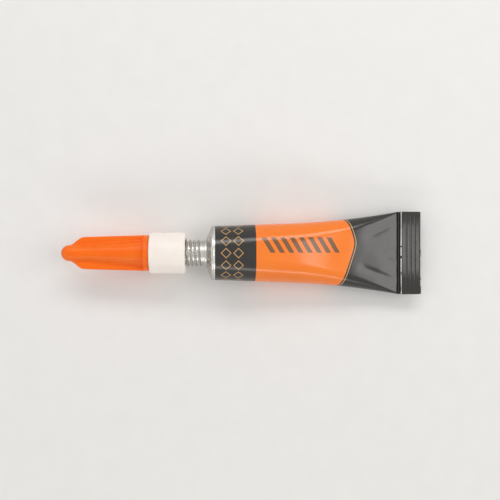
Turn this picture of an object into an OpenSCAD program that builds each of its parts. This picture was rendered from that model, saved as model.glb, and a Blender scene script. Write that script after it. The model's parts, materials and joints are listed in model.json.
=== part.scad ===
// Small squeeze tube of instant glue: a printed aluminium tube with a folded tail,
// a screw-on nozzle whose spike pierces the sealed neck, and a push-on cap with two wings.
// The tube lies on its straight belly. X runs along it with the folded tail at +X, Z is up,
// and the origin lies on the resting surface, under the middle of the whole part.
// Pieces are drawn along the tube's own axis, with x = 0 at the shoulder's edge, then laid down.

/* [Tube] */
// Outside diameter of the tube at its shoulder
tube_d = 13.5; // [12.5:0.1:16]
// Length of the tube from the shoulder's edge to the front of the tail fold
body_l = 46.9; // [42:0.1:65]
// Thickness of the aluminium wall
wall = 0.15; // [0.12:0.01:0.25]
// Length of the straight belly behind the shoulder
belly_l = 18.5; // [12:0.1:24]
// How much lower the tube is at the end of its straight belly
belly_drop = 2.4; // [1.2:0.1:3.2]

/* [Tail fold] */
// Length of the folded tail
fold_l = 6; // [4:0.1:8]
// Space between the folded layers
fold_gap = 0.06; // [0.04:0.01:0.15]
// How far each folded layer stops short of the layer under it
fold_step = 0.35; // [0.1:0.05:0.8]
// Thickness of the sealing band pressed between the tail's walls
seal_t = 0.12; // [0.1:0.01:0.3]
// How far the sealing band reaches forward into the tube
seal_lip = 2.5; // [1:0.1:4]
// Bare margin beside the sealing band, on each side
seal_margin = 0.9; // [0.7:0.1:3]

/* [Shoulder and neck] */
// Length of the conical shoulder along the axis
shoulder_l = 1.75; // [1.2:0.05:3]
// Thickness of the shoulder along the axis
shoulder_t = 0.5; // [0.4:0.05:1]
// Length of the neck from the shoulder to its mouth
neck_l = 7.95; // [7:0.05:9]
// Diameter of the neck between its threads
neck_d = 5.9; // [5.6:0.05:6.2]
// Bore of the neck
neck_bore = 4.4; // [3.6:0.1:4.8]
// Length of the smooth ring at the foot of the neck
bead_l = 0.5; // [0.3:0.05:1]
// Diameter of the sealing foil over the neck's mouth
foil_d = 5.5; // [5:0.1:5.8]
// Thickness of the sealing foil
foil_t = 0.12; // [0.08:0.01:0.2]

/* [Thread] */
// Advance of the screw thread in one turn
pitch = 1; // [0.9:0.05:1.5]
// Outside diameter of the neck's thread
thread_d = 6.75; // [6.6:0.05:7]
// Width of a thread ridge at its foot
ridge_foot = 0.64; // [0.5:0.02:0.66]
// Width of a thread ridge at its crest
ridge_crest = 0.24; // [0.16:0.02:0.26]
// Plain length of neck between its mouth and its thread
lead_l = 0.5; // [0.4:0.05:1]
// Plain length of neck between its thread and the smooth ring
run_out_l = 0.35; // [0.34:0.01:0.6]
// Turns of the short thread inside the collar
nut_turns = 1.7; // [1:0.1:2]
// Plain length inside the collar's mouth, ahead of its thread
nut_lead_l = 0.5; // [0.4:0.05:0.8]

/* [Nozzle] */
// Diameter of the nozzle's collar
collar_d = 10.2; // [9:0.1:11.5]
// Length of the nozzle's collar
collar_l = 8.8; // [8.7:0.05:11]
// Chamfer on the collar's outer edges
collar_edge = 0.45; // [0.1:0.05:0.8]
// Length of bare neck between the shoulder and the collar before first use
bare_l = 5.15; // [4.5:0.05:5.6]
// Diameter of the boss that the cap is pushed onto
boss_d = 4.5; // [4.2:0.05:4.7]
// Length of that boss
boss_l = 3.2; // [2:0.1:4]
// Diameter at the foot of the spout
spout_d = 3.8; // [3:0.1:4]
// Length of the spout's taper
spout_l = 8.6; // [6:0.1:9]
// Diameter of the spout's straight tip
tip_d = 1.8; // [1.6:0.05:2]
// Length of the spout's straight tip
tip_l = 4.2; // [3:0.1:4.4]
// Bore of the spout's straight tip
outlet_d = 0.8; // [0.76:0.02:1]
// Bore of the spike and the tapered spout
channel_d = 1.2; // [0.9:0.05:1.4]
// Diameter at the foot of the piercing spike
spike_d = 2.6; // [2:0.1:3]
// Diameter at the point of the piercing spike
spike_tip_d = 1.5; // [1.45:0.05:1.9]

/* [Cap] */
// Length of the cap
cap_l = 21.5; // [21:0.05:25]
// Diameter of the flange at the cap's open end
flange_d = 8.9; // [8:0.1:10]
// Length of that flange
flange_l = 1.3; // [0.8:0.1:2]
// Diameter of the cap's core behind the flange
core_foot_d = 6.3; // [6:0.1:7]
// Diameter of the cap's core at its closed end
core_d = 4; // [3.8:0.1:4.6]
// Length of the core's taper
core_taper_l = 13.5; // [12:0.1:15]
// Length of the round nub in front of the wings
nub_l = 2.1; // [1.5:0.1:4]
// Length of the nub's rounded end
dome_l = 2; // [1:0.1:2.4]
// Width across the two wings at the flange
wing_foot_w = 8.8; // [7.5:0.1:10]
// Width across the two wings at their front corners
wing_front_w = 7.9; // [6.5:0.1:9]
// Length of the wings' slanted front
wing_slant_l = 2.8; // [1:0.1:5]
// Thickness of the wings
wing_t = 1.2; // [0.8:0.1:2]

/* [Needle] */
// Diameter of the needle that keeps the outlet open
needle_d = 0.6; // [0.4:0.05:0.6]
// Length of needle held in the cap's closed end
needle_hold = 3.2; // [2:0.1:3.4]
// Length of needle that stands in the spout's outlet
needle_plug = 3.4; // [2:0.1:4]
// Length of the needle's point
needle_point = 0.6; // [0.3:0.1:1]

/* [Contents] */
// Height of the liquid's surface above the resting surface
glue_level = 5.9; // [4:0.1:9]
// Distance behind the shoulder's edge at which the liquid starts
glue_start = 0.6; // [0.5:0.05:2]

/* [Fits] */
// Radial clearance between the two threads
thread_play = 0.13; // [0.1:0.01:0.2]
// Gap left between collar and shoulder when the nozzle is screwed right down
stop_gap = 0.15; // [0.1:0.05:0.3]
// Gap between the neck's mouth and the foil, and between foil and nozzle when screwed down
foil_gap = 0.03; // [0.02:0.01:0.1]
// Gap between spike and foil before first use
spike_gap = 0.3; // [0.2:0.05:0.6]
// Radial clearance of the push-on cap on the boss
cap_fit = 0.05; // [0.02:0.01:0.1]
// Gap between the cap's flange and the collar
cap_seat = 0.1; // [0.02:0.01:0.2]
// Least gap between the spout and the inside of the cap
spout_clear = 0.35; // [0.3:0.05:0.5]
// Radial clearance of the needle in the cap
needle_fit = 0.03; // [0.02:0.01:0.08]
// Gap between the sealing band and each of the tail's walls
seal_fit = 0.025; // [0.025:0.005:0.035]
// Gap between the tube's wall and what it holds
fill_gap = 0.1; // [0.03:0.01:0.15]

/* [Hidden] */
$fn = 96;
// Small overlap that joins pieces of one solid
bite = 0.04;
// How far a cut runs past the face that it opens
past = 1;
// Depth of the seams where the shoulder and the folded tail join the tube's wall
seam_l = 0.4;
root_l = 0.3;
// Half of the strip left at the top of the liquid where it fills the tube
brim = 0.2;
// Points round a tube section, and steps along the straight belly and along the tail
round_n = 64;
belly_n = 1;
tail_n = 11;
// Rings in one turn of a thread, and rings over which a thread rises at each end
turn_n = 24;
rise_n = 6;
// Steps of the nub's rounded end
dome_n = 6;

// Folded tail
layer_t = 2 * wall + seal_t;
layer_step = layer_t + fold_gap;
bend_r = layer_t + fold_gap / 2;
fold_end = body_l + fold_l;
band_end = fold_end - bend_r - fold_step;

// Flattening of the tube: straight along the belly, then a parabola to the fold
tail_h = layer_t - bite;
belly_fall = belly_drop / belly_l;
tail_curve = (tube_d - belly_fall * body_l - tail_h) / pow(body_l - belly_l, 2);
stations = concat(
    [for (i = [0:belly_n]) belly_l * i / belly_n],
    [for (i = [1:tail_n]) belly_l + (body_l - belly_l) * i / tail_n]
);
tail_w = flat_w(body_l) + tail_h;

// Places along the axis
neck_x = -shoulder_l;
mouth_x = neck_x - neck_l;
foil_x = mouth_x - foil_gap - foil_t;
collar_x = neck_x - bare_l;
screw_travel = bare_l - stop_gap;
seat_x = foil_x - foil_gap - screw_travel;
collar_front = collar_x - collar_l;
boss_front = collar_front - boss_l;
taper_front = boss_front - spout_l;
spout_front = taper_front - tip_l;
spike_x = foil_x - spike_gap;
cap_x = collar_front - cap_seat;
cap_front = cap_x - cap_l;
core_front = cap_x - flange_l - core_taper_l;
wing_front = cap_front + nub_l;
well_end = spout_front - spout_clear;
socket_d = thread_d + 2 * thread_play;

// Laying down: the tube tips until its belly is level, and the box is centred on the origin
lie_angle = atan(belly_fall / 2);
lay_z = tube_d / 2 * cos(lie_angle);
box_low_x = cap_front * cos(lie_angle);
box_high_x = (fold_end - bend_r) * cos(lie_angle) + layer_step / 2 * sin(lie_angle) + bend_r;
lay_x = -(box_low_x + box_high_x) / 2;

// Height of the tube at distance x behind the shoulder's edge
function tube_h(x) = tube_d - belly_fall * x - tail_curve * pow(max(0, x - belly_l), 2);

// Width of the flat top and bottom there, which keeps the circumference
function flat_w(x) = PI * (tube_d - tube_h(x)) / 2;

// Half-section point at distance t round the wall from the middle of the belly, set in by inset
function side_point(x, t, inset) =
    let(
        r = tube_h(x) / 2,
        flat = flat_w(x) / 2,
        turn = (t - flat) / r * 180 / PI
    )
    t <= flat ? [t, inset - r]
    : turn < 180 ? [flat + (r - inset) * sin(turn), -(r - inset) * cos(turn)]
    : [flat - (t - flat - PI * r), r - inset];

// One ring of points round the tube
function section(x, inset) = [
    for (i = [0:round_n - 1])
        let(
            share = i / round_n,
            side = share > 0.5 ? -1 : 1,
            point = side_point(x, PI * tube_d * min(share, 1 - share), inset)
        )
        [x, side * point[0], point[1]]
];

// Two triangles for each step round the strip between two rings that start at points a and b
function strip(a, b, n) = [
    for (i = [0:n - 1])
        let(j = (i + 1) % n)
        each [[a + i, b + i, a + j], [b + i, b + j, a + j]]
];

// The flattening tube's wall, open at both ends
module tube_wall() {
    last = len(stations) - 1;
    inner = (last + 1) * round_n;
    points = [
        for (inset = [0, wall])
            each [for (x = stations) each section(x, inset)]
    ];
    faces = concat(
        [for (k = [0:last - 1]) each strip(k * round_n, (k + 1) * round_n, round_n)],
        [for (k = [0:last - 1]) each strip(inner + (k + 1) * round_n, inner + k * round_n, round_n)],
        strip(inner, 0, round_n),
        strip(last * round_n, inner + last * round_n, round_n)
    );
    polyhedron(points, faces);
}

// Height of the liquid's level surface over the axis, at distance x behind the shoulder's edge
function level_h(x) = (glue_level - lay_z + x * sin(lie_angle)) / cos(lie_angle);

// Triangles from a middle point to each step round the ring that starts at point a
function fan(middle, a, n) = [for (i = [0:n - 1]) [middle, a + i, a + (i + 1) % n]];

// Distance round the wall from the middle of the belly to the liquid's surface
function wet_reach(x, inset) =
    let(
        r = tube_h(x) / 2,
        cover = -level_h(x) / (r - inset)
    )
    cover > -1 ? flat_w(x) / 2 + r * acos(cover) * PI / 180 : PI * tube_d / 2 - brim;

// One open ring of points on the wetted wall, from one edge of the liquid's surface to the other
function wet_section(x, inset) = [
    for (i = [0:round_n - 1])
        let(
            t = wet_reach(x, inset) * (2 * i / (round_n - 1) - 1),
            point = side_point(x, abs(t), inset)
        )
        [x, sign(t) * point[0], point[1]]
];

// What fills the tube up to that level between two places, set in from the tube's outside
module tube_fill(from, to, inset) {
    places = concat([from], [for (x = stations) if (x > from && x < to) x], [to]);
    last = len(places) - 1;
    middle = len(places) * round_n;
    points = concat(
        [for (x = places) each wet_section(x, inset)],
        [for (x = [from, to]) [x, 0, (min(level_h(x), tube_h(x) / 2 - inset) - tube_h(x) / 2 + inset) / 2]]
    );
    far_end = [for (f = fan(middle + 1, last * round_n, round_n)) [f[0], f[2], f[1]]];
    faces = concat(
        [for (k = [0:last - 1]) each strip(k * round_n, (k + 1) * round_n, round_n)],
        fan(middle, 0, round_n),
        far_end
    );
    polyhedron(points, faces);
}

// A right-hand ridge from one place on the axis to another, rising from and sinking into its foot.
// Shift moves the ridge along the axis; its buried edge lies inside the wall that carries it.
module ridge(from, to, foot_d, crest_d, shift) {
    outward = crest_d > foot_d ? 1 : -1;
    buried_r = foot_d / 2 - outward * 3 * bite;
    low_r = foot_d / 2 - outward * bite;
    n = ceil(turn_n * (to - from) / pitch);
    points = [
        for (i = [0:n])
            let(
                x = from + (to - from) * i / n,
                angle = 360 * (x - neck_x - shift) / pitch,
                rise = min(1, i / rise_n, (n - i) / rise_n),
                top_r = low_r + (crest_d / 2 - low_r) * rise
            )
            for (corner = [
                [buried_r, -ridge_foot / 2],
                [top_r, -ridge_crest / 2],
                [top_r, ridge_crest / 2],
                [buried_r, ridge_foot / 2]
            ])
                [x + corner[1], corner[0] * cos(angle), corner[0] * sin(angle)]
    ];
    start = [3, 2, 1, 0];
    end = [for (i = [0:3]) n * 4 + i];
    faces = concat([for (k = [0:n - 1]) each strip(k * 4 + 4, k * 4, 4)], [start, end]);
    polyhedron(points, outward > 0 ? faces : [for (f = faces) [for (i = [len(f) - 1:-1:0]) f[i]]]);
}

// Turns an outline of [radius, place on the axis] points round the tube's axis
module turned(outline) {
    rotate([0, 90, 0]) rotate_extrude() polygon(outline);
}

// A round rod between two places on the axis
module rod(from, to, d) {
    translate([min(from, to), 0, 0]) rotate([0, 90, 0]) cylinder(h = abs(to - from), d = d);
}

// Lays the tube on its belly, in the part's own frame
module lay() {
    translate([lay_x, 0, lay_z]) rotate([0, lie_angle, 0]) children();
}

// Shoulder and neck, closed at the tube's wall
module shoulder_and_neck() {
    edge_r = tube_d / 2 - wall / 3;
    skirt_r = tube_d / 2 - wall - 2 * bite;
    turned([
        [neck_bore / 2, mouth_x],
        [neck_d / 2, mouth_x],
        [neck_d / 2, neck_x - bead_l],
        [thread_d / 2, neck_x - bead_l],
        [thread_d / 2, neck_x],
        [edge_r, -shoulder_t],
        [edge_r, seam_l],
        [skirt_r, seam_l],
        [skirt_r, 0],
        [neck_bore / 2, neck_x + shoulder_t]
    ]);
}

// Outline of the rolled tail, seen from the side
module fold_outline() {
    back_x = fold_end - bend_r;
    front_x = body_l + fold_step + bend_r;
    translate([body_l - root_l, -layer_t / 2]) square([back_x - body_l + root_l, layer_t]);
    translate([front_x, layer_step - layer_t / 2]) square([back_x - front_x, layer_t]);
    translate([front_x, 2 * layer_step - layer_t / 2]) square([back_x - fold_step - front_x, layer_t]);
    bend([back_x, layer_step / 2], 1);
    bend([front_x, layer_step * 1.5], -1);
}

// Half a ring that joins one folded layer to the next, bulging towards side
module bend(centre, side) {
    translate(centre) intersection() {
        difference() {
            circle(r = bend_r);
            circle(r = fold_gap / 2);
        }
        translate([side > 0 ? -bite : -2 * bend_r + bite, -bend_r]) square(2 * bend_r);
    }
}

// Flat band between the tail's walls, from one place to another
module band(from, to, t, w) {
    translate([from, -w / 2, -t / 2]) cube([to - from, w, t]);
}

module tube_shell() {
    color("darkorange") lay() {
        tube_wall();
        shoulder_and_neck();
        ridge(mouth_x + lead_l, neck_x - bead_l - run_out_l, neck_d, thread_d, 0);
        difference() {
            rotate([90, 0, 0]) linear_extrude(tail_w, center = true) fold_outline();
            band(body_l - past, band_end, seal_t, tail_w - 2 * seal_margin + 2 * fill_gap);
        }
    }
}

module neck_foil() {
    color("silver") lay() rod(foil_x, foil_x + foil_t, foil_d);
}

module tail_sealant() {
    color("wheat") lay()
        band(body_l - seal_lip, band_end - fill_gap, seal_t - 2 * seal_fit, tail_w - 2 * seal_margin);
}

module glue_fill() {
    color("lightcyan") lay() tube_fill(glue_start, body_l - seal_lip - fill_gap, wall + fill_gap);
}

module nozzle() {
    nut_end = collar_x - nut_lead_l;
    color("ivory") lay() {
        turned([
            [channel_d / 2, spike_x],
            [spike_tip_d / 2, spike_x],
            [spike_d / 2, seat_x],
            [socket_d / 2, seat_x],
            [socket_d / 2, collar_x],
            [collar_d / 2 - collar_edge, collar_x],
            [collar_d / 2, collar_x - collar_edge],
            [collar_d / 2, collar_front + collar_edge],
            [collar_d / 2 - collar_edge, collar_front],
            [boss_d / 2, collar_front],
            [boss_d / 2, boss_front],
            [spout_d / 2, boss_front],
            [tip_d / 2, taper_front],
            [tip_d / 2, spout_front],
            [outlet_d / 2, spout_front],
            [outlet_d / 2, taper_front],
            [channel_d / 2, taper_front + channel_d]
        ]);
        ridge(nut_end - nut_turns * pitch, nut_end, socket_d, neck_d + 2 * thread_play, pitch / 2);
    }
}

module cap_needle() {
    plug_end = spout_front + needle_plug;
    color("gainsboro") lay() turned([
        [0, well_end - needle_hold],
        [needle_d / 2, well_end - needle_hold],
        [needle_d / 2, plug_end - needle_point],
        [0, plug_end]
    ]);
}

// Outside of the cap without its wings
module cap_core() {
    dome = [
        for (i = [0:dome_n])
            let(turn = 90 * i / dome_n)
            [core_d / 2 * sin(turn), cap_front + dome_l * (1 - cos(turn))]
    ];
    sides = [
        [core_d / 2, core_front],
        [core_foot_d / 2, cap_x - flange_l],
        [flange_d / 2, cap_x - flange_l],
        [flange_d / 2, cap_x],
        [0, cap_x]
    ];
    turned(concat(dome, sides));
}

// Both wings as one flat plate through the core
module cap_wings() {
    foot_x = cap_x - flange_l / 2;
    corner_x = wing_front + wing_slant_l;
    half = [
        [wing_front, core_d / 2 - bite],
        [corner_x, wing_front_w / 2],
        [foot_x, wing_foot_w / 2]
    ];
    other_half = [for (i = [2:-1:0]) [half[i][0], -half[i][1]]];
    translate([0, 0, -wing_t / 2]) linear_extrude(wing_t) polygon(concat(half, other_half));
}

// Space inside the cap that clears the nozzle's boss and spout
module cap_well() {
    turned([
        [0, cap_x + past],
        [boss_d / 2 + cap_fit, cap_x + past],
        [boss_d / 2 + cap_fit, boss_front - spout_clear],
        [spout_d / 2 + spout_clear, boss_front - spout_clear],
        [tip_d / 2 + spout_clear, taper_front - spout_clear],
        [tip_d / 2 + spout_clear, well_end],
        [0, well_end]
    ]);
}

module cap() {
    color("orangered") lay() difference() {
        union() {
            cap_core();
            cap_wings();
        }
        cap_well();
        rod(well_end - needle_hold - needle_fit, well_end + past, needle_d + 2 * needle_fit);
    }
}

tube_shell();
neck_foil();
tail_sealant();
glue_fill();
nozzle();
cap_needle();
cap();
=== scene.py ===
import json
import math
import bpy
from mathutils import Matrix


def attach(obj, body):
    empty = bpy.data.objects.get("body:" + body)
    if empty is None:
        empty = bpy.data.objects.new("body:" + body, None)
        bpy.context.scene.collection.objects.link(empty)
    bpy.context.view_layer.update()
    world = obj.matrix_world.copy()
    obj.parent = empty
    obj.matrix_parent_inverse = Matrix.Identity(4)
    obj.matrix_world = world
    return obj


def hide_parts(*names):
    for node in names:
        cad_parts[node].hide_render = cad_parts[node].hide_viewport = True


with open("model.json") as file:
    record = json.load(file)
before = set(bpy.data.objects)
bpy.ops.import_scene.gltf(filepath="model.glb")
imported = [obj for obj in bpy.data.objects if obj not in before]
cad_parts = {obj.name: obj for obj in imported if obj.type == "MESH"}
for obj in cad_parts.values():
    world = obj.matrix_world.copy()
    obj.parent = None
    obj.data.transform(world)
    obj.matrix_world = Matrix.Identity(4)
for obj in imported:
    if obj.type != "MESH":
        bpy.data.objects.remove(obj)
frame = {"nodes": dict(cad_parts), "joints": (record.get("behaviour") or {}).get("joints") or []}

from types import SimpleNamespace

import bmesh
import bpy
from bpy.props import FloatProperty, FloatVectorProperty, PointerProperty
from mathutils import Matrix, Vector, geometry

bl_info = {
    "name": "Glue Tube",
    "version": (1, 0, 0),
    "blender": (4, 5, 0),
    "location": "3D View > Sidebar > Glue Tube",
    "description": "Models a small aluminium glue tube with its nozzle and cap, and a plain studio",
    "category": "Add Mesh",
}

MM = 0.001
TURN = 2 * math.pi
WHITE = (1, 1, 1, 1)
# Vertices closer than this are one
WELD = 0.0002 * MM
# Edges that turn more than this stay crisp
CRISP = math.radians(38)
# Sides of a turned piece, and of the rounding on its edges
RING_STEPS, ROUND_STEPS = 128, 4

# Kinds of node that the materials use most
BUMP, MATH, MIX = "ShaderNodeBump", "ShaderNodeMath", "ShaderNodeMix"
NOISE, RANGE = "ShaderNodeTexNoise", "ShaderNodeMapRange"

# Soft boxes: name, place, width and height in metres, and watts
LAMPS = (
    ("Softbox", (0.02, 0.28, 0.28), (0.45, 0.10), 0.60),
    ("Fill", (-0.05, -0.34, 0.20), (0.50, 0.08), 0.34),
    ("Front", (-0.34, 0.0, 0.22), (0.16, 0.16), 0.16),
    ("Back", (0.42, 0.02, 0.30), (0.30, 0.16), 0.5),
    ("Fold", (0.218, 0.02, 0.414), (0.25, 0.07), 0.18),
)

# The tube's own axis, which the nozzle screws along: x = 0 at the shoulder's edge, +x to the tail
SCREW = next(joint for joint in frame["joints"] if joint["name"] == "nozzle_turn")
TO_TAIL = Vector(SCREW["axis"])
DIP = math.atan2(-TO_TAIL.z, TO_TAIL.x)
LAY = Matrix.Translation(SCREW["pos_m"]) @ Matrix.Rotation(DIP, 4, "Y")


def length(name, description, millimetres):
    """A length that a user can set, given here in millimetres."""
    return FloatProperty(
        name=name, description=description, default=millimetres * MM, unit="LENGTH", precision=5
    )


def linear(hex_colour):
    """An sRGB hex colour as linear red, green, blue and alpha."""
    shares = [int(hex_colour[i:i + 2], 16) / 255 for i in (1, 3, 5)]
    return (*[s / 12.92 if s <= 0.04045 else ((s + 0.055) / 1.055) ** 2.4 for s in shares], 1.0)


def colour(name, description, hex_colour):
    """A colour that a user can set, given here as sRGB hex."""
    return FloatVectorProperty(
        name=name, description=description, default=linear(hex_colour),
        subtype="COLOR", size=4, min=0, max=1
    )


class GlueTubeSizes(bpy.types.PropertyGroup):
    """Sizes of the aluminium tube."""

    tube_d: length("Diameter", "Outside diameter at the shoulder", 13.5)
    body_l: length("Body length", "From the shoulder's edge to the front of the tail fold", 46.9)
    wall: length("Wall", "Thickness of the aluminium", 0.15)
    belly_l: length("Belly length", "Straight belly behind the shoulder", 18.5)
    belly_drop: length("Belly drop", "How much lower the tube is at the end of its belly", 2.4)
    fold_l: length("Fold length", "Length of the folded tail", 6.0)
    layer_t: length("Fold layer", "Thickness of one folded layer, two walls and the sealant", 0.42)
    fold_gap: length("Fold gap", "Space between the folded layers", 0.06)
    fold_step: length("Fold step", "How far each layer stops short of the one under it", 0.35)
    shoulder_l: length("Shoulder length", "Length of the conical shoulder along the axis", 1.75)
    shoulder_t: length("Shoulder thickness", "Thickness of the shoulder along the axis", 0.5)
    neck_l: length("Neck length", "From the shoulder to the mouth", 7.95)
    neck_d: length("Neck diameter", "Diameter between the threads", 5.9)
    neck_bore: length("Neck bore", "Bore of the neck", 4.4)
    bead_l: length("Bead length", "Smooth ring at the foot of the neck", 0.5)
    thread_d: length("Thread diameter", "Outside diameter of the neck's thread", 6.75)
    pitch: length("Pitch", "Advance of the thread in one turn", 1.0)
    ridge_foot: length("Ridge foot", "Width of a thread ridge at its foot", 0.64)
    lead_l: length("Thread lead", "Plain neck between the mouth and the thread", 0.5)
    run_out_l: length("Thread run-out", "Plain neck between the thread and the bead", 0.35)
    foil_t: length("Foil thickness", "Thickness of the sealing foil over the mouth", 0.12)
    foil_gap: length(
        "Foil gap", "Gap on both sides of the foil when the nozzle is screwed down", 0.03
    )


class GlueNozzleSizes(bpy.types.PropertyGroup):
    """Sizes of the screw-on nozzle."""

    collar_d: length("Collar diameter", "Diameter of the plain collar", 10.2)
    collar_l: length("Collar length", "Length of the plain collar", 8.8)
    collar_round: length("Collar rounding", "Rounding of the collar's outer edges", 0.5)
    bare_l: length("Bare neck", "Neck left bare between shoulder and collar before first use", 5.15)
    stop_gap: length("Stop gap", "Gap between collar and shoulder when screwed right down", 0.15)
    socket_d: length("Socket diameter", "Bore of the collar that the neck screws into", 7.01)
    nut_d: length("Nut diameter", "Inside diameter of the collar's thread", 6.16)
    nut_l: length("Nut length", "Length of the collar's thread", 1.7)
    nut_lead_l: length("Nut lead", "Plain length inside the collar's mouth", 0.5)
    boss_d: length("Boss diameter", "Diameter of the boss that the cap is pushed onto", 4.5)
    boss_l: length("Boss length", "Length of that boss", 3.2)
    spout_d: length("Spout diameter", "Diameter at the foot of the spout", 3.8)
    spout_l: length("Spout length", "Length of the spout's taper", 8.6)
    tip_d: length("Tip diameter", "Diameter of the spout's straight tip", 1.8)
    tip_l: length("Tip length", "Length of the spout's straight tip", 4.2)
    outlet_d: length("Outlet", "Bore of the straight tip", 0.8)
    channel_d: length("Channel", "Bore of the spike and the taper", 1.2)
    spike_d: length("Spike foot", "Diameter at the foot of the piercing spike", 2.6)
    spike_tip_d: length("Spike point", "Diameter at the point of the piercing spike", 1.5)
    spike_gap: length("Spike gap", "Gap between spike and foil before first use", 0.3)


class GlueCapSizes(bpy.types.PropertyGroup):
    """Sizes of the winged push-on cap."""

    cap_l: length("Cap length", "Length of the cap", 21.5)
    seat: length("Seat gap", "Gap between the cap's flange and the collar", 0.1)
    flange_d: length("Flange diameter", "Diameter of the flange at the open end", 8.9)
    flange_l: length("Flange length", "Length of that flange", 1.3)
    core_foot_d: length("Core foot", "Diameter of the core at the flange", 6.3)
    core_d: length("Core diameter", "Diameter of the core at its closed end", 4.0)
    core_taper_l: length("Core taper", "Length of the core's taper", 13.5)
    nub_l: length("Nub length", "Length of the round nub in front of the wings", 2.1)
    dome_l: length("Nub dome", "Length of the nub's rounded end", 2.0)
    wing_foot_w: length("Wing foot width", "Width across the wings at the flange", 8.8)
    wing_front_w: length("Wing front width", "Width across the wings at their front corners", 7.9)
    wing_slant_l: length("Wing slant", "Length of the wings' slanted front", 2.8)
    wing_t: length("Wing thickness", "Thickness of the wings", 1.2)
    edge: length("Flange rounding", "Rounding of the flange's edges", 0.25)
    well_d: length("Well diameter", "Bore that fits over the nozzle's boss", 4.6)
    spout_clear: length("Spout clearance", "Least gap between the spout and the inside", 0.35)
    hole_d: length("Needle hole", "Bore that holds the needle", 0.66)
    hole_l: length("Needle hole depth", "Depth of the needle's hole", 3.23)


class GlueTubeColours(bpy.types.PropertyGroup):
    """Colours of the print and the mouldings."""

    charcoal: colour("Charcoal", "Dark print at both ends of the tube", "#1f1b16")
    orange: colour("Orange", "Print of the middle panel", "#f8760a")
    tan: colour("Tan", "Fine lines of the print", "#c79a62")
    bars: colour("Bars", "Slanted bars on the panel", "#7a5330")
    aluminium: colour("Aluminium", "Bare metal of the shoulder, the neck and the foil", "#d8d7d3")
    # Warm white of the moulding, tinted pink as painted orange light bounced onto it
    moulded_white: colour("White", "Moulding of the nozzle", "#fae9de")
    moulded_orange: colour("Cap orange", "Moulding of the cap", "#fe6804")
    sealant: colour("Sealant", "Band in the tail fold", "#d8c08c")
    glue: colour("Glue", "Liquid in the tube", "#e8eee9")
    steel: colour("Steel", "Needle in the cap", "#b9bbbd")
    floor: colour("Floor", "Plain floor of the studio", "#e9e7e4")


def places(scene):
    """Places of the pieces along the tube's axis, from the shoulder's edge."""
    tube, nozzle, cap = scene.glue_tube, scene.glue_nozzle, scene.glue_cap
    at = SimpleNamespace()
    at.neck = -tube.shoulder_l
    at.mouth = at.neck - tube.neck_l
    at.foil = at.mouth - tube.foil_gap - tube.foil_t
    at.collar = at.neck - nozzle.bare_l
    at.collar_front = at.collar - nozzle.collar_l
    at.seat = at.foil - tube.foil_gap - nozzle.bare_l + nozzle.stop_gap
    at.boss_front = at.collar_front - nozzle.boss_l
    at.taper_front = at.boss_front - nozzle.spout_l
    at.spout_front = at.taper_front - nozzle.tip_l
    at.spike = at.foil - nozzle.spike_gap
    at.cap = at.collar_front - cap.seat
    at.cap_front = at.cap - cap.cap_l
    at.flange_front = at.cap - cap.flange_l
    at.core_front = at.flange_front - cap.core_taper_l
    at.wing_front = at.cap_front + cap.nub_l
    at.wing_corner = at.wing_front + cap.wing_slant_l
    at.well_end = at.spout_front - cap.spout_clear
    return at


def tube_height(tube, x):
    """Height of the tube at x: straight along the belly, then a parabola down to the fold."""
    fall = tube.belly_drop / tube.belly_l
    tail = tube.tube_d - fall * tube.body_l - tube.layer_t
    curve = tail / (tube.body_l - tube.belly_l) ** 2
    return tube.tube_d - fall * x - curve * max(0, x - tube.belly_l) ** 2


def tube_point(tube, x, arc):
    """The point of the tube's outside at x, and at arc round it from the line along its top."""
    radius = tube_height(tube, x) / 2
    flat = math.pi * (tube.tube_d - 2 * radius) / 4
    way = abs(arc)
    turn = min(max(way - flat, 0) / radius, math.pi)
    y = min(way, flat) + radius * math.sin(turn) - max(way - flat - math.pi * radius, 0)
    return Vector((x, math.copysign(y, arc), radius * math.cos(turn)))


def fold_run(tube):
    """Height between folded layers, and where the flat layers end at the front and back."""
    bend_r = tube.layer_t + tube.fold_gap / 2
    front_x = tube.body_l + tube.fold_step + bend_r
    back_x = tube.body_l + tube.fold_l - bend_r
    return tube.layer_t + tube.fold_gap, front_x, back_x


def map_print(bm):
    """Gives a sheet the print's map: its place now, along and across, in millimetres."""
    print_map = bm.loops.layers.uv.new("Print")
    for face in bm.faces:
        for loop in face.loops:
            loop[print_map].uv = loop.vert.co.xy / MM


def side_view(vert):
    """A vertex's place along the axis and its distance from it."""
    return Vector((vert.co.x, math.hypot(vert.co.y, vert.co.z)))


def turned(outline):
    """A closed outline of (x, radius, rounding) points, turned about the tube's axis."""
    bm = bmesh.new()
    points = [bm.verts.new((x, 0, radius)) for x, radius, rounding in outline]
    for start, end in zip(points, points[1:] + points[:1]):
        bm.edges.new((start, end))
    bmesh.ops.spin(
        bm, geom=bm.verts[:] + bm.edges[:], cent=(0, 0, 0), axis=(1, 0, 0),
        angle=TURN, steps=RING_STEPS, use_merge=True
    )
    bmesh.ops.remove_doubles(bm, verts=bm.verts, dist=WELD)
    bmesh.ops.recalc_face_normals(bm, faces=bm.faces)
    for x, radius, rounding in outline:
        if rounding > 0:
            corner = Vector((x, radius))
            ring = [
                edge for edge in bm.edges
                if all((side_view(vert) - corner).length < WELD for vert in edge.verts)
            ]
            bmesh.ops.bevel(
                bm, geom=ring, offset=rounding, offset_type="OFFSET", segments=ROUND_STEPS,
                profile=0.5, affect="EDGES", material=-1, clamp_overlap=True
            )
    return bm


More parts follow.
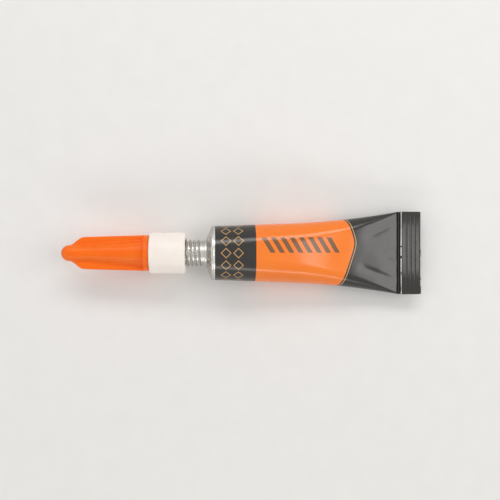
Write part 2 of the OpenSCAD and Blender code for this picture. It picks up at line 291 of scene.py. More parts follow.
def screw_ridge(start_x, end_x, foot_r, crest_r, width, pitch, phase_x):
    """A right-hand thread ridge with a rounded crest that rises from and sinks into its foot."""
    turn_steps, rise_steps, profile_n = 40, 12, 9
    buried, fullness = 0.08 * MM, 0.8
    buried_r = foot_r - math.copysign(buried, crest_r - foot_r)
    start_angle = TURN * (start_x - phase_x) / pitch
    bm = bmesh.new()
    profile = []
    for i in range(profile_n):
        share = 2 * i / (profile_n - 1) - 1
        radius = buried_r + (crest_r - buried_r) * math.cos(share * math.pi / 2) ** fullness
        profile.append(bm.verts.new((
            start_x + share * width / 2,
            radius * math.cos(start_angle), radius * math.sin(start_angle)
        )))
    for start, end in zip(profile, profile[1:] + profile[:1]):
        bm.edges.new((start, end))
    steps = round(turn_steps * (end_x - start_x) / pitch)
    bmesh.ops.spin(
        bm, geom=bm.verts[:] + bm.edges[:], cent=(0, 0, 0), axis=(1, 0, 0),
        angle=TURN * (end_x - start_x) / pitch, dvec=((end_x - start_x) / steps, 0, 0),
        steps=steps, use_merge=False
    )
    bm.verts.index_update()
    for vert in bm.verts:
        step = vert.index // profile_n
        rise = min(1, step / rise_steps, (steps - step) / rise_steps)
        radius = side_view(vert).y
        scale = (buried_r + (radius - buried_r) * rise) / radius
        vert.co.yz = vert.co.y * scale, vert.co.z * scale
    bmesh.ops.holes_fill(bm, edges=[e for e in bm.edges if e.is_boundary], sides=0)
    bmesh.ops.recalc_face_normals(bm, faces=bm.faces)
    # A coil can come out inside out
    if bm.calc_volume(signed=True) < 0:
        bmesh.ops.reverse_faces(bm, faces=bm.faces)
    return bm


def lay_piece(bm, name, material, body, node):
    """Lays a bmesh, drawn along the tube's axis, on the floor as a piece that stands for a node."""
    bmesh.ops.transform(bm, matrix=LAY, verts=bm.verts)
    mesh = bpy.data.meshes.new(name)
    bm.to_mesh(mesh)
    bm.free()
    mesh.shade_smooth()
    mesh.set_sharp_from_angle(angle=CRISP)
    mesh.materials.append(material)
    piece = bpy.data.objects.new(name, mesh)
    bpy.context.scene.collection.objects.link(piece)
    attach(piece, body)
    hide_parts(node)
    return piece


def add_node(tree, kind, sockets=None, **settings):
    """Adds a node with its settings, and fills its sockets with values or with links from nodes."""
    made = tree.nodes.new(kind)
    for name, value in settings.items():
        setattr(made, name, value)
    for name, value in (sockets or {}).items():
        if isinstance(name, int):
            socket = made.inputs[name]
        else:
            socket = next(s for s in made.inputs if s.enabled and s.name == name)
        if isinstance(value, bpy.types.Node):
            value = next(s for s in value.outputs if s.enabled)
        if isinstance(value, bpy.types.NodeSocket):
            tree.links.new(value, socket)
        else:
            socket.default_value = value
    return made


def start_material(name):
    """An empty material and its node tree."""
    material = bpy.data.materials.new(name)
    material.use_nodes = True
    tree = material.node_tree
    tree.nodes.clear()
    return material, tree


def close_material(tree, sockets):
    """Ends a material with its shader."""
    shader = add_node(tree, "ShaderNodeBsdfPrincipled", sockets)
    add_node(tree, "ShaderNodeOutputMaterial", {"Surface": shader})


def seen_rays(tree):
    """1 for what the camera, a mirror or clear glass looks at, and 0 for light on the pieces."""
    rays = add_node(tree, "ShaderNodeLightPath")
    mirrored = add_node(
        tree, MATH, {0: rays.outputs["Is Glossy Ray"], 1: rays.outputs["Is Transmission Ray"]},
        operation="MAXIMUM"
    )
    return add_node(
        tree, MATH, {0: rays.outputs["Is Camera Ray"], 1: mirrored}, operation="MAXIMUM"
    )


def printed_enamel(tube, colours):
    """Gloss enamel printed on the aluminium: charcoal ends and an orange panel with fine tan lines.

    It reads as smooth lacquer with soft reflections, a bare bright rim at the shoulder,
    and faint unevenness where the thin metal was handled. The print's map is in millimetres,
    along the tube from the shoulder's edge and round it from its top, and so are the sizes here.
    """
    material, tree = start_material("printed enamel on aluminium")
    uv = add_node(tree, "ShaderNodeUVMap", uv_map="Print")
    split = add_node(tree, "ShaderNodeSeparateXYZ", {"Vector": uv})
    along, round_ = split.outputs["X"], split.outputs["Y"]

    # Bare rim with a ragged edge
    rim_l, ragged_size, ragged_reach = 0.35, 0.7, 0.22
    ragged = add_node(tree, NOISE, {"Vector": uv, "Scale": 1 / ragged_size, "Detail": 3.0})
    rim_edge = add_node(
        tree, MATH, {0: ragged, 1: -ragged_reach, 2: along}, operation="MULTIPLY_ADD"
    )
    rim = add_node(tree, MATH, {0: rim_edge, 1: rim_l - ragged_reach / 2}, operation="LESS_THAN")

    # Bare metal in a broken line on the upper edges of the fold's front and back bends: enamel
    # cracked off in long flakes, and a painted highlight along those bends
    step, front_x, back_x = fold_run(tube)
    wear_highlight_front, wear_highlight_back, wear_highlight_half = (front_x - step / 4) / MM, (back_x + step / 4) / MM, 0.04
    flake_highlight_size, flake_highlight_stretch, flake_highlight_limit = 0.4, 5, 0.42
    drawn_out = add_node(
        tree, "ShaderNodeMapping", {"Vector": uv, "Scale": (1.0, 1 / flake_highlight_stretch, 1.0)}
    )
    flake_highlight_noise = add_node(tree, NOISE, {"Vector": drawn_out, "Scale": 1 / flake_highlight_size, "Detail": 4.0})
    cracks_and_highlight = add_node(tree, MATH, {0: flake_highlight_noise, 1: flake_highlight_limit}, operation="GREATER_THAN")
    front_bend = add_node(tree, MATH, {0: along, 1: wear_highlight_front, 2: wear_highlight_half}, operation="COMPARE")
    back_bend = add_node(tree, MATH, {0: along, 1: wear_highlight_back, 2: wear_highlight_half}, operation="COMPARE")
    bends = add_node(tree, MATH, {0: front_bend, 1: back_bend}, operation="MAXIMUM")
    # Painted highlight on the bends, drawn as the bare metal of cracked enamel
    flakes_and_highlight = add_node(tree, MATH, {0: bends, 1: cracks_and_highlight}, operation="MULTIPLY")
    # Bare metal of the shoulder's rim, and of the fold's flaked line with its painted highlight
    bare = add_node(tree, MATH, {0: rim, 1: flakes_and_highlight}, operation="MAXIMUM")

    # The panel's pointed end: one distance that runs along the tube and falls off from the apex
    band_l, panel_l, apex_round, apex_shift, slope = 10.3, 34.85, 1.2, 2.4, 0.36
    panel_edge = panel_l + slope * apex_round
    off = add_node(tree, MATH, {0: round_, 1: apex_shift}, operation="SUBTRACT")
    square = add_node(tree, MATH, {0: off, 1: off, 2: apex_round ** 2}, operation="MULTIPLY_ADD")
    root = add_node(tree, MATH, {0: square}, operation="SQRT")
    edge = add_node(tree, MATH, {0: root, 1: slope, 2: along}, operation="MULTIPLY_ADD")
    inside = add_node(tree, MATH, {0: edge, 1: panel_edge}, operation="LESS_THAN")
    behind = add_node(tree, MATH, {0: along, 1: band_l}, operation="GREATER_THAN")
    panel = add_node(tree, MATH, {0: inside, 1: behind}, operation="MULTIPLY")

    # A fine stripe beside that end
    stripe_mid, stripe_half = panel_edge + 0.5, 0.12
    stripe = add_node(tree, MATH, {0: edge, 1: stripe_mid, 2: stripe_half}, operation="COMPARE")

    # Slanted bars in a row along the panel
    bar_pitch, bar_w, bar_lean, first_bar, bar_n = 2.3, 1.25, 0.6, 6, 8
    row_mid, row_half = (first_bar + bar_n / 2) * bar_pitch, bar_n / 2 * bar_pitch
    bars_mid, bars_half = 2.0, 1.9
    lean = add_node(tree, MATH, {0: round_, 1: bar_lean, 2: along}, operation="MULTIPLY_ADD")
    repeat = add_node(tree, MATH, {0: lean, 1: bar_pitch, 2: 0.0}, operation="WRAP")
    bar = add_node(tree, MATH, {0: repeat, 1: bar_w}, operation="LESS_THAN")
    bars_along = add_node(tree, MATH, {0: lean, 1: row_mid, 2: row_half}, operation="COMPARE")
    bars_round = add_node(tree, MATH, {0: round_, 1: bars_mid, 2: bars_half}, operation="COMPARE")
    bars_box = add_node(tree, MATH, {0: bars_along, 1: bars_round}, operation="MULTIPLY")
    bars = add_node(tree, MATH, {0: bar, 1: bars_box}, operation="MULTIPLY")

    # Two rings of outlined diamonds round the front band
    diamond_pitch, diamond_half, line_half = 3.0, 1.15, 0.13
    cell, rings_mid = {1: diamond_pitch / 2, 2: -diamond_pitch / 2}, 1.5 * diamond_pitch
    cell_x = add_node(tree, MATH, {0: along, **cell}, operation="WRAP")
    cell_y = add_node(tree, MATH, {0: round_, **cell}, operation="WRAP")
    far_x = add_node(tree, MATH, {0: cell_x}, operation="ABSOLUTE")
    far_y = add_node(tree, MATH, {0: cell_y}, operation="ABSOLUTE")
    reach = add_node(tree, MATH, {0: far_x, 1: far_y}, operation="ADD")
    outline = add_node(tree, MATH, {0: reach, 1: diamond_half, 2: line_half}, operation="COMPARE")
    rings = add_node(tree, MATH, {0: along, 1: rings_mid, 2: diamond_pitch}, operation="COMPARE")
    diamonds = add_node(tree, MATH, {0: outline, 1: rings}, operation="MULTIPLY")

    # The inks one over another, with slow shifts of their depth
    cloud_size = 9.0
    clouds = add_node(tree, NOISE, {"Vector": uv, "Scale": 1 / cloud_size, "Detail": 2.0})
    dark = add_node(
        tree, MIX, {"Factor": clouds, "A": tuple(colours.charcoal), "B": linear("#27231d")},
        data_type="RGBA"
    )
    bright = add_node(
        tree, MIX, {"Factor": clouds, "A": tuple(colours.orange), "B": linear("#fc8414")},
        data_type="RGBA"
    )
    ground = add_node(tree, MIX, {"Factor": panel, "A": dark, "B": bright}, data_type="RGBA")
    lines = add_node(tree, MATH, {0: stripe, 1: diamonds}, operation="MAXIMUM")
    lined = add_node(
        tree, MIX, {"Factor": lines, "A": ground, "B": tuple(colours.tan)}, data_type="RGBA"
    )
    barred = add_node(
        tree, MIX, {"Factor": bars, "A": lined, "B": tuple(colours.bars)}, data_type="RGBA"
    )
    paint = add_node(
        tree, MIX, {"Factor": bare, "A": barred, "B": tuple(colours.aluminium)}, data_type="RGBA"
    )

    # Smears in the gloss, and shallow waves of the handled metal
    smear_size, wave_size, wave_depth = 2.5, 4.0, 0.12 * MM
    smears = add_node(tree, NOISE, {"Vector": uv, "Scale": 1 / smear_size, "Detail": 4.0})
    gloss = add_node(tree, RANGE, {"Value": smears, "To Min": 0.1, "To Max": 0.24})
    waves = add_node(tree, NOISE, {"Vector": uv, "Scale": 1 / wave_size, "Detail": 2.0})
    bump = add_node(tree, BUMP, {"Height": waves, "Strength": 0.25, "Distance": wave_depth})
    close_material(tree, {
        "Base Color": paint, "Metallic": bare, "Roughness": gloss, "Normal": bump,
    })
    return material


def bare_aluminium(colours):
    """Soft aluminium, impact-extruded and thread-rolled: bright, with a crumpled satin sparkle."""
    # The metal's own grain is finer, and is drawn this coarse to show
    crumple_size, crumple_depth, grain_size = 0.8 * MM, 0.18 * MM, 0.35 * MM
    material, tree = start_material("bare rolled aluminium")
    where = add_node(tree, "ShaderNodeTexCoord").outputs["Object"]
    crumple = add_node(tree, NOISE, {"Vector": where, "Scale": 1 / crumple_size, "Detail": 4.0})
    grain = add_node(tree, NOISE, {"Vector": where, "Scale": 1 / grain_size, "Detail": 4.0})
    tone = add_node(
        tree, MIX, {"Factor": grain, "A": tuple(colours.aluminium), "B": linear("#938f85")},
        data_type="RGBA"
    )
    satin = add_node(tree, RANGE, {"Value": grain, "To Min": 0.12, "To Max": 0.4})
    bump = add_node(tree, BUMP, {"Height": crumple, "Strength": 0.9, "Distance": crumple_depth})
    close_material(tree, {"Base Color": tone, "Metallic": 1.0, "Roughness": satin, "Normal": bump})
    return material


def white_polyethylene(colours):
    """Natural polyethylene, injection moulded: waxy, warm white with a pink tint of painted orange
    bounce light, and lit a little from inside.
    """
    # The moulded skin is finer, and is drawn this coarse to show
    wax_size, skin_size, skin_depth, inner_reach = 3 * MM, 0.25 * MM, 0.03 * MM, 1.2 * MM
    material, tree = start_material("moulded white polyethylene")
    where = add_node(tree, "ShaderNodeTexCoord").outputs["Object"]
    wax = add_node(tree, NOISE, {"Vector": where, "Scale": 1 / wax_size, "Detail": 3.0})
    # The first tone carries the painted pink bounce light
    tone = add_node(
        tree, MIX, {"Factor": wax, "A": tuple(colours.moulded_white), "B": linear("#fef5ee")},
        data_type="RGBA"
    )
    skin = add_node(tree, NOISE, {"Vector": where, "Scale": 1 / skin_size, "Detail": 2.0})
    satin = add_node(tree, RANGE, {"Value": skin, "To Min": 0.34, "To Max": 0.48})
    bump = add_node(tree, BUMP, {"Height": skin, "Strength": 0.12, "Distance": skin_depth})
    close_material(tree, {
        "Base Color": tone, "Roughness": satin, "Normal": bump, "IOR": 1.51,
        "Subsurface Weight": 0.35, "Subsurface Radius": (1.0, 0.8, 0.65),
        "Subsurface Scale": inner_reach,
    })
    return material


def orange_polypropylene(colours):
    """Coloured polypropylene, injection moulded: a glossy, slightly see-through orange skin."""
    streak_w, streak_depth, streak_squeeze, inner_reach = 0.8 * MM, 0.05 * MM, 0.15, 0.9 * MM
    material, tree = start_material("moulded orange polypropylene")
    where = add_node(tree, "ShaderNodeTexCoord").outputs["Object"]
    flow = add_node(
        tree, "ShaderNodeMapping", {"Vector": where, "Scale": (streak_squeeze, 1.0, 1.0)}
    )
    streaks = add_node(tree, NOISE, {"Vector": flow, "Scale": 1 / streak_w, "Detail": 3.0})
    tone = add_node(
        tree, MIX, {"Factor": streaks, "A": tuple(colours.moulded_orange), "B": linear("#ff7a14")},
        data_type="RGBA"
    )
    gloss = add_node(tree, RANGE, {"Value": streaks, "To Min": 0.26, "To Max": 0.4})
    bump = add_node(tree, BUMP, {"Height": streaks, "Strength": 0.15, "Distance": streak_depth})
    close_material(tree, {
        "Base Color": tone, "Roughness": gloss, "Normal": bump, "IOR": 1.49,
        "Specular IOR Level": 0.25, "Subsurface Weight": 0.2,
        "Subsurface Radius": (1.0, 0.35, 0.1), "Subsurface Scale": inner_reach,
    })
    return material


def mottled(name, first, second, size_mm, shader):
    """A plain material of two close tones, in soft spots of the given size."""
    spot_depth = 0.02 * MM
    material, tree = start_material(name)
    where = add_node(tree, "ShaderNodeTexCoord").outputs["Object"]
    spots = add_node(tree, NOISE, {"Vector": where, "Scale": 1 / (size_mm * MM), "Detail": 3.0})
    tone = add_node(
        tree, MIX, {"Factor": spots, "A": tuple(first), "B": tuple(second)}, data_type="RGBA"
    )
    bump = add_node(tree, BUMP, {"Height": spots, "Strength": 0.2, "Distance": spot_depth})
    close_material(tree, {"Base Color": tone, "Normal": bump, **shader})
    return material


class GLUETUBE_OT_tube(bpy.types.Operator):
    """Model the printed tube and its folded tail"""

    bl_idname = "gluetube.tube"
    bl_label = "Printed Tube"

    def execute(self, context):
        tube = context.scene.glue_tube
        enamel = printed_enamel(tube, context.scene.glue_colours)
        body = lay_piece(
            self.body(tube), "printed_tube", enamel, "tube", "tube_shell"
        )
        metal = body.modifiers.new("Wall", "SOLIDIFY")
        metal.thickness = tube.wall
        metal.offset = -1
        tail = lay_piece(
            self.fold(tube), "tail_fold", enamel, "tube", "tube_shell"
        )
        layers = tail.modifiers.new("Layer", "SOLIDIFY")
        layers.thickness = tube.layer_t
        layers.offset = 0
        edges = tail.modifiers.new("Edges", "BEVEL")
        edges.width = 0.06 * MM
        edges.segments = 2
        # Only the cut edges, not the bends
        edges.angle_limit = math.radians(60)
        return {"FINISHED"}

    def body(self, tube):
        """A sheet with the print's map, rolled into the flattening tube and dented by handling."""
        steps_along, steps_round = 140, 240
        # Dents: place along, place round, reach and depth in millimetres
        dents = (
            (26, 4.5, 4.0, 0.10), (38, -3.0, 5.0, 0.16),
            (41, 5.0, 3.5, 0.12), (33, 9.5, 3.0, 0.10),
        )
        # Creases: both ends along and round, half-width and depth in millimetres
        creases = (
            (46.6, 7.6, 37.5, 3.6, 0.7, 0.14), (46.6, -7.2, 36.0, -3.2, 0.8, 0.16),
            (46.7, 2.2, 41.5, 0.4, 0.6, 0.1), (46.7, -2.8, 43.0, -1.0, 0.5, 0.1),
            (46.6, 14.0, 39.0, 17.5, 0.8, 0.14), (46.6, -13.6, 38.0, -17.0, 0.7, 0.12),
        )
        bm = bmesh.new()
        bmesh.ops.create_grid(bm, x_segments=steps_along, y_segments=steps_round, size=0.5)
        bmesh.ops.translate(bm, verts=bm.verts, vec=(0.5, 0, 0))
        bmesh.ops.scale(bm, verts=bm.verts, vec=(tube.body_l, math.pi * tube.tube_d, 1))
        map_print(bm)
        for vert in bm.verts:
            flat = vert.co.xy
            vert.co = tube_point(tube, *flat)
            spot = flat / MM
            press = 0
            for x, arc, reach, depth in dents:
                press += depth * math.exp(-((spot - Vector((x, arc))).length / reach) ** 2)
            for x, arc, end_x, end_arc, reach, depth in creases:
                near, share = geometry.intersect_point_line(spot, (x, arc), (end_x, end_arc))
                fade = max(0, 1 - abs(2 * share - 1) ** 3)
                press += depth * fade * math.exp(-((spot - near.xy).length / reach) ** 2)
            vert.co.z -= math.copysign(press * MM, vert.co.z)
        bmesh.ops.remove_doubles(bm, verts=bm.verts, dist=WELD)
        bmesh.ops.recalc_face_normals(bm, faces=bm.faces)
        return bm

    def fold(self, tube):
        """The flat tail rolled over twice, as one strip as thick as a layer."""
        root_l, groove_pitch, groove_depth = 0.3 * MM, 1.1 * MM, 0.05 * MM
        bend_steps, groove_cuts = 10, 60
        step, front_x, back_x = fold_run(tube)
        end_x, top_z = back_x - tube.fold_step, 2 * step
        width = math.pi * (tube.tube_d - tube.layer_t) / 2 + tube.layer_t
        ends = (
            (tube.body_l - root_l, 0), (back_x, 0), (back_x, step),
            (front_x, step), (front_x, top_z), (end_x, top_z),
        )
        bm = bmesh.new()
        points = [bm.verts.new((x, -width / 2, z)) for x, z in ends]
        for start, end in zip(points[::2], points[1::2]):
            bm.edges.new((start, end))
        for start, axis in ((points[1], -1), (points[3], 1)):
            bmesh.ops.spin(
                bm, geom=[start], cent=start.co + Vector((0, 0, step / 2)), axis=(0, axis, 0),
                angle=math.pi, steps=bend_steps, use_merge=False
            )
        bmesh.ops.subdivide_edges(bm, edges=[bm.edges.get(points[4:])], cuts=groove_cuts)
        bmesh.ops.remove_doubles(bm, verts=bm.verts, dist=WELD)
        # Grooves of the crimping jaws, clear of both ends of the top layer
        for vert in bm.verts:
            grooved = front_x + groove_pitch / 4 < vert.co.x < end_x - groove_pitch / 4
            if grooved and vert.co.z > top_z - WELD:
                wave = math.cos(TURN * (vert.co.x - front_x) / groove_pitch)
                vert.co.z -= groove_depth * max(0, wave) ** 2
        made = bmesh.ops.extrude_edge_only(bm, edges=bm.edges[:])["geom"]
        far_side = [part for part in made if isinstance(part, bmesh.types.BMVert)]
        bmesh.ops.translate(bm, verts=far_side, vec=(0, width, 0))
        map_print(bm)
        bmesh.ops.recalc_face_normals(bm, faces=bm.faces)
        return bm


class GLUETUBE_OT_neck(bpy.types.Operator):
    """Model the bare shoulder, the neck and its thread"""

    bl_idname = "gluetube.neck"
    bl_label = "Shoulder and Neck"

    def execute(self, context):
        tube, at = context.scene.glue_tube, places(context.scene)
        metal = bare_aluminium(context.scene.glue_colours)
        fine_round, mouth_round, edge_round = 0.12 * MM, 0.2 * MM, 0.3 * MM
        # A skirt that reaches a little way into the printed wall
        skirt_l = 0.4 * MM
        skirt_out_r = tube.tube_d / 2 - tube.wall / 3
        skirt_in_r = tube.tube_d / 2 - 1.5 * tube.wall
        shoulder = turned([
            (at.mouth, tube.neck_bore / 2, fine_round),
            (at.mouth, tube.neck_d / 2, mouth_round),
            (at.neck - tube.bead_l, tube.neck_d / 2, 0),
            (at.neck - tube.bead_l, tube.thread_d / 2, fine_round),
            (at.neck, tube.thread_d / 2, 0),
            (-tube.shoulder_t, skirt_out_r, edge_round),
            (skirt_l, skirt_out_r, 0),
            (skirt_l, skirt_in_r, 0),
            (0, skirt_in_r, 0),
            (at.neck + tube.shoulder_t, tube.neck_bore / 2, 0),
        ])
        lay_piece(shoulder, "shoulder_and_neck", metal, "tube", "tube_shell")
        thread = screw_ridge(
            at.mouth + tube.lead_l, at.neck - tube.bead_l - tube.run_out_l,
            tube.neck_d / 2, tube.thread_d / 2, tube.ridge_foot, tube.pitch, at.neck
        )
        lay_piece(thread, "neck_thread", metal, "tube", "tube_shell")
        return {"FINISHED"}


class GLUETUBE_OT_nozzle(bpy.types.Operator):
    """Model the screw-on nozzle with its piercing spike and spout"""

    bl_idname = "gluetube.nozzle"
    bl_label = "Nozzle"

    def execute(self, context):
        tube, nozzle = context.scene.glue_tube, context.scene.glue_nozzle
        at = places(context.scene)
        plastic = white_polyethylene(context.scene.glue_colours)
        fine_round, mouth_round = 0.15 * MM, 0.2 * MM
        body = turned([
            (at.spike, nozzle.channel_d / 2, 0),
            (at.spike, nozzle.spike_tip_d / 2, 0),
            (at.seat, nozzle.spike_d / 2, 0),
            (at.seat, nozzle.socket_d / 2, 0),
            (at.collar, nozzle.socket_d / 2, mouth_round),
            (at.collar, nozzle.collar_d / 2, nozzle.collar_round),
            (at.collar_front, nozzle.collar_d / 2, nozzle.collar_round),
            (at.collar_front, nozzle.boss_d / 2, 0),
            (at.boss_front, nozzle.boss_d / 2, fine_round),
            (at.boss_front, nozzle.spout_d / 2, 0),
            (at.taper_front, nozzle.tip_d / 2, 0),
            (at.spout_front, nozzle.tip_d / 2, fine_round),
            (at.spout_front, nozzle.outlet_d / 2, 0),
            (at.taper_front, nozzle.outlet_d / 2, 0),
            (at.taper_front + nozzle.channel_d, nozzle.channel_d / 2, 0),
        ])
        lay_piece(body, "nozzle_body", plastic, "nozzle", "nozzle")
        nut_end = at.collar - nozzle.nut_lead_l
        thread = screw_ridge(
            nut_end - nozzle.nut_l, nut_end, nozzle.socket_d / 2, nozzle.nut_d / 2,
            tube.ridge_foot, tube.pitch, at.neck + tube.pitch / 2
        )
        lay_piece(thread, "nozzle_thread", plastic, "nozzle", "nozzle")
        return {"FINISHED"}


class GLUETUBE_OT_cap(bpy.types.Operator):
    """Model the cap: a tapering core with two wings, a nub and a flange"""

    bl_idname = "gluetube.cap"
    bl_label = "Winged Cap"

    def execute(self, context):
        cap = context.scene.glue_cap
        plastic = orange_polypropylene(context.scene.glue_colours)
        rows = self.rows(cap, context.scene.glue_nozzle, places(context.scene))
        row_n, quarter_n = len(rows) - 1, 30
        bm = bmesh.new()
        bmesh.ops.create_grid(bm, x_segments=row_n, y_segments=4 * quarter_n, size=0.5)
        for vert in bm.verts:
            x, core, wing = rows[round((vert.co.x + 0.5) * row_n)]
            angle = self.angle((vert.co.y + 0.5) * 4)
            radius = self.radius(angle, core, wing, cap.wing_t / 2)
            vert.co = x, radius * math.cos(angle), radius * math.sin(angle)
        bmesh.ops.remove_doubles(bm, verts=bm.verts, dist=WELD)
        bmesh.ops.recalc_face_normals(bm, faces=bm.faces)
        lay_piece(bm, "winged_cap", plastic, "cap", "cap")
        return {"FINISHED"}

    def angle(self, quarters):
        """Angle round the axis, with columns drawn together at the wings, 0 and 180 degrees."""
        spread = 0.35
        whole = math.floor(quarters)
        part = quarters - whole
        near = 1 - part if whole % 2 else part
        lean = math.pi / 2 * (spread * near + (1 - spread) * near ** 3)
        return math.pi / 2 * (whole + 1) - lean if whole % 2 else math.pi / 2 * whole + lean

    def radius(self, angle, core, wing, half_t):
        """Distance from the axis to the cap's skin: the core and a rounded flat wing, blended."""
        corner, blend = 9, 14
        if wing <= 0 or core <= 0:
            return core
        across, out = abs(math.sin(angle)) / half_t, abs(math.cos(angle)) / wing
        plate = (across ** corner + out ** corner) ** (-1 / corner)
        return (core ** blend + plate ** blend) ** (1 / blend)

    def rows(self, cap, nozzle, at):
        """Rows of (x, core radius, wing half-width), from the nub over the flange into the well."""
        spacing, mouth_bevel, corner, arc_steps = 0.25 * MM, 0.2 * MM, 16, 8
        core_r, foot_r, flange_r = cap.core_d / 2, cap.core_foot_d / 2, cap.flange_d / 2
        # Half-widths where a wing's slant starts and where a wing first counts, inside the core
        slant_from, least_wing = 0.8 * core_r, 0.3 * core_r
        quarter = [math.pi / 2 * i / arc_steps for i in range(arc_steps + 1)]
        rows = []
        for turn in quarter:
            x = at.cap_front + cap.dome_l * (1 - math.cos(turn))
            rows.append((x, core_r * math.sin(turn), 0))
        start_x = at.cap_front + cap.dome_l
        count = round((at.flange_front - start_x) / spacing)
        for i in range(1, count + 1):
            x = start_x + (at.flange_front - start_x) * i / count
            taper = max(0, x - at.core_front) / cap.core_taper_l
            share = (x - at.wing_front) / cap.wing_slant_l
            slant = slant_from + share * (cap.wing_front_w / 2 - slant_from)
            along = (x - at.wing_corner) / (at.flange_front - at.wing_corner)
            side = (cap.wing_front_w + (cap.wing_foot_w - cap.wing_front_w) * along) / 2
            wing = 0
            if slant > least_wing:
                wing = (slant ** -corner + side ** -corner) ** (-1 / corner)
            rows.append((x, core_r + (foot_r - core_r) * taper, wing))
        for turn in quarter:
            x = at.flange_front + cap.edge * (1 - math.cos(turn))
            rows.append((x, flange_r - cap.edge * (1 - math.sin(turn)), 0))
        for turn in reversed(quarter):
            x = at.cap - cap.edge * (1 - math.cos(turn))
            rows.append((x, flange_r - cap.edge * (1 - math.sin(turn)), 0))
        well_r, hole_r = cap.well_d / 2, cap.hole_d / 2
        spout_r, tip_r = nozzle.spout_d / 2 + cap.spout_clear, nozzle.tip_d / 2 + cap.spout_clear
        step_x, narrow_x = at.boss_front - cap.spout_clear, at.taper_front - cap.spout_clear
        hole_end = at.well_end - cap.hole_l
        rows += [
            (at.cap, well_r + mouth_bevel, 0), (at.cap - mouth_bevel, well_r, 0),
            (step_x, well_r, 0), (step_x, spout_r, 0),
            (narrow_x, tip_r, 0), (at.well_end, tip_r, 0),
            (at.well_end, hole_r, 0), (hole_end, hole_r, 0), (hole_end, 0, 0),
        ]
        return rows


class GLUETUBE_OT_inside(bpy.types.Operator):
    """Finish the foil, the sealant, the glue and the needle"""

    bl_idname = "gluetube.inside"
    bl_label = "Inner Pieces"

    def execute(self, context):
        colours = context.scene.glue_colours
        finishes = {
            # Rolled foil: bright, with a fine satin grain
            "neck_foil": mottled(
                "rolled aluminium foil", colours.aluminium, linear("#bdbcb8"), 0.3,
                {"Metallic": 1.0, "Roughness": 0.3}
            ),
            # Dried latex: dull and yellowish
            "tail_sealant": mottled(
                "dried latex sealant", colours.sealant, linear("#c7ab74"), 0.6, {"Roughness": 0.75}
            ),
            # Clear thin liquid
            "glue_fill": mottled(
                "clear liquid glue", colours.glue, linear("#f4f7f4"), 4.0,
                {"Roughness": 0.05, "IOR": 1.45, "Transmission Weight": 0.9}
            ),
            # Drawn wire: grey, with a soft shine
            "cap_needle": mottled(
                "drawn steel wire", colours.steel, linear("#9fa2a5"), 0.2,
                {"Metallic": 1.0, "Roughness": 0.25}
            ),
        }
        for node, material in finishes.items():
            piece = frame["nodes"][node]
            piece.data.materials.clear()
            piece.data.materials.append(material)
        return {"FINISHED"}


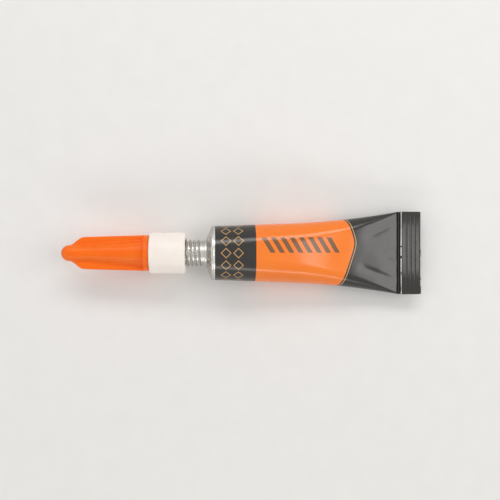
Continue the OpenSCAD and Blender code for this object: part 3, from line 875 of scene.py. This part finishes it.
class GLUETUBE_OT_stage(bpy.types.Operator):
    """Set the floor, the soft lights, the surroundings and the camera"""

    bl_idname = "gluetube.stage"
    bl_label = "Studio"

    def execute(self, context):
        self.floor(context.scene)
        for name, place, size, watts in LAMPS:
            self.light(name, Vector(place), size, watts)
        self.surroundings(context.scene)
        self.camera(context.scene)
        context.scene.view_settings.view_transform = "Standard"
        return {"FINISHED"}

    def floor(self, scene):
        """A wide, pale, faintly mottled floor."""
        half_w, steps = 1.5, 8
        bm = bmesh.new()
        bmesh.ops.create_grid(bm, x_segments=steps, y_segments=steps, size=half_w)
        mesh = bpy.data.meshes.new("floor")
        bm.to_mesh(mesh)
        bm.free()
        mesh.materials.append(self.board(scene.glue_colours))
        floor = bpy.data.objects.new("floor", mesh)
        scene.collection.objects.link(floor)

    def board(self, colours):
        """Pale painted board, faintly mottled, that fades to plain white far from the tube."""
        fade_from, fade_to, spot_size = 0.11, 0.42, 6 * MM
        material, tree = start_material("pale painted board")
        where = add_node(tree, "ShaderNodeTexCoord").outputs["Object"]
        spots = add_node(tree, NOISE, {"Vector": where, "Scale": 1 / spot_size, "Detail": 3.0})
        tone = add_node(
            tree, MIX, {"Factor": spots, "A": tuple(colours.floor), "B": linear("#efedea")},
            data_type="RGBA"
        )
        paint = add_node(tree, "ShaderNodeBsdfPrincipled", {"Base Color": tone, "Roughness": 0.7})
        away = add_node(tree, "ShaderNodeVectorMath", {0: where}, operation="LENGTH")
        fade = add_node(
            tree, RANGE,
            {"Value": away.outputs["Value"], "From Min": fade_from, "From Max": fade_to},
            interpolation_type="SMOOTHERSTEP"
        )
        share = add_node(tree, MATH, {0: fade, 1: seen_rays(tree)}, operation="MULTIPLY")
        white = add_node(tree, "ShaderNodeEmission", {"Color": WHITE, "Strength": 1.0})
        surface = add_node(tree, "ShaderNodeMixShader", {0: share, 1: paint, 2: white})
        add_node(tree, "ShaderNodeOutputMaterial", {"Surface": surface})
        return material

    def light(self, name, place, size, watts):
        """A soft box that faces the tube."""
        lamp = bpy.data.lights.new(name, "AREA")
        lamp.shape = "RECTANGLE"
        lamp.size, lamp.size_y = size
        lamp.energy = watts
        holder = bpy.data.objects.new(name, lamp)
        holder.location = place
        holder.rotation_euler = (-place).to_track_quat("-Z", "Y").to_euler()
        bpy.context.scene.collection.objects.link(holder)

    def surroundings(self, scene):
        """Even light all round, seen as white by the camera and in reflections."""
        light_on_tube, seen_as_white = 0.43, 1.0
        world = bpy.data.worlds.new("studio")
        scene.world = world
        world.use_nodes = True
        tree = world.node_tree
        tree.nodes.clear()
        strength = add_node(
            tree, RANGE,
            {"Value": seen_rays(tree), "To Min": light_on_tube, "To Max": seen_as_white}
        )
        sky = add_node(tree, "ShaderNodeBackground", {"Color": WHITE, "Strength": strength})
        add_node(tree, "ShaderNodeOutputWorld", {"Surface": sky})

    def camera(self, scene):
        """Straight above the tube, close enough for the photograph's perspective."""
        centre = Vector((1.33, 0.75, 6.7)) * MM
        distance, view_w, sensor_mm = 140 * MM, 125 * MM, 36
        data = bpy.data.cameras.new("Camera")
        data.sensor_width = sensor_mm
        data.lens = sensor_mm * distance / view_w
        data.clip_start = 1 * MM
        camera = bpy.data.objects.new("Camera", data)
        camera.location = centre + Vector((0, 0, distance))
        scene.collection.objects.link(camera)
        scene.camera = camera


class GLUETUBE_PT_panel(bpy.types.Panel):
    """Lists the tube's pieces, sizes and colours"""

    bl_idname = "GLUETUBE_PT_panel"
    bl_label = "Glue Tube"
    bl_space_type = "VIEW_3D"
    bl_region_type = "UI"
    bl_category = "Glue Tube"

    def draw(self, context):
        for operator in OPERATORS:
            self.layout.operator(operator.bl_idname)
        for name in GROUPS:
            group = getattr(context.scene, name)
            box = self.layout.box()
            for prop in group.bl_rna.properties:
                if prop.identifier in group.__annotations__:
                    box.prop(group, prop.identifier)


GROUPS = {
    "glue_tube": GlueTubeSizes,
    "glue_nozzle": GlueNozzleSizes,
    "glue_cap": GlueCapSizes,
    "glue_colours": GlueTubeColours,
}
OPERATORS = (
    GLUETUBE_OT_stage, GLUETUBE_OT_tube, GLUETUBE_OT_neck,
    GLUETUBE_OT_nozzle, GLUETUBE_OT_cap, GLUETUBE_OT_inside,
)
CLASSES = (*GROUPS.values(), *OPERATORS, GLUETUBE_PT_panel)


def register():
    for made in CLASSES:
        bpy.utils.register_class(made)
    for name, group in GROUPS.items():
        setattr(bpy.types.Scene, name, PointerProperty(type=group))


def unregister():
    for name in GROUPS:
        delattr(bpy.types.Scene, name)
    for made in reversed(CLASSES):
        bpy.utils.unregister_class(made)


def main():
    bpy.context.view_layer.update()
    register()
    bpy.ops.gluetube.stage()
    bpy.ops.gluetube.tube()
    bpy.ops.gluetube.neck()
    bpy.ops.gluetube.nozzle()
    bpy.ops.gluetube.cap()
    bpy.ops.gluetube.inside()


if __name__ == "__main__":
    main()
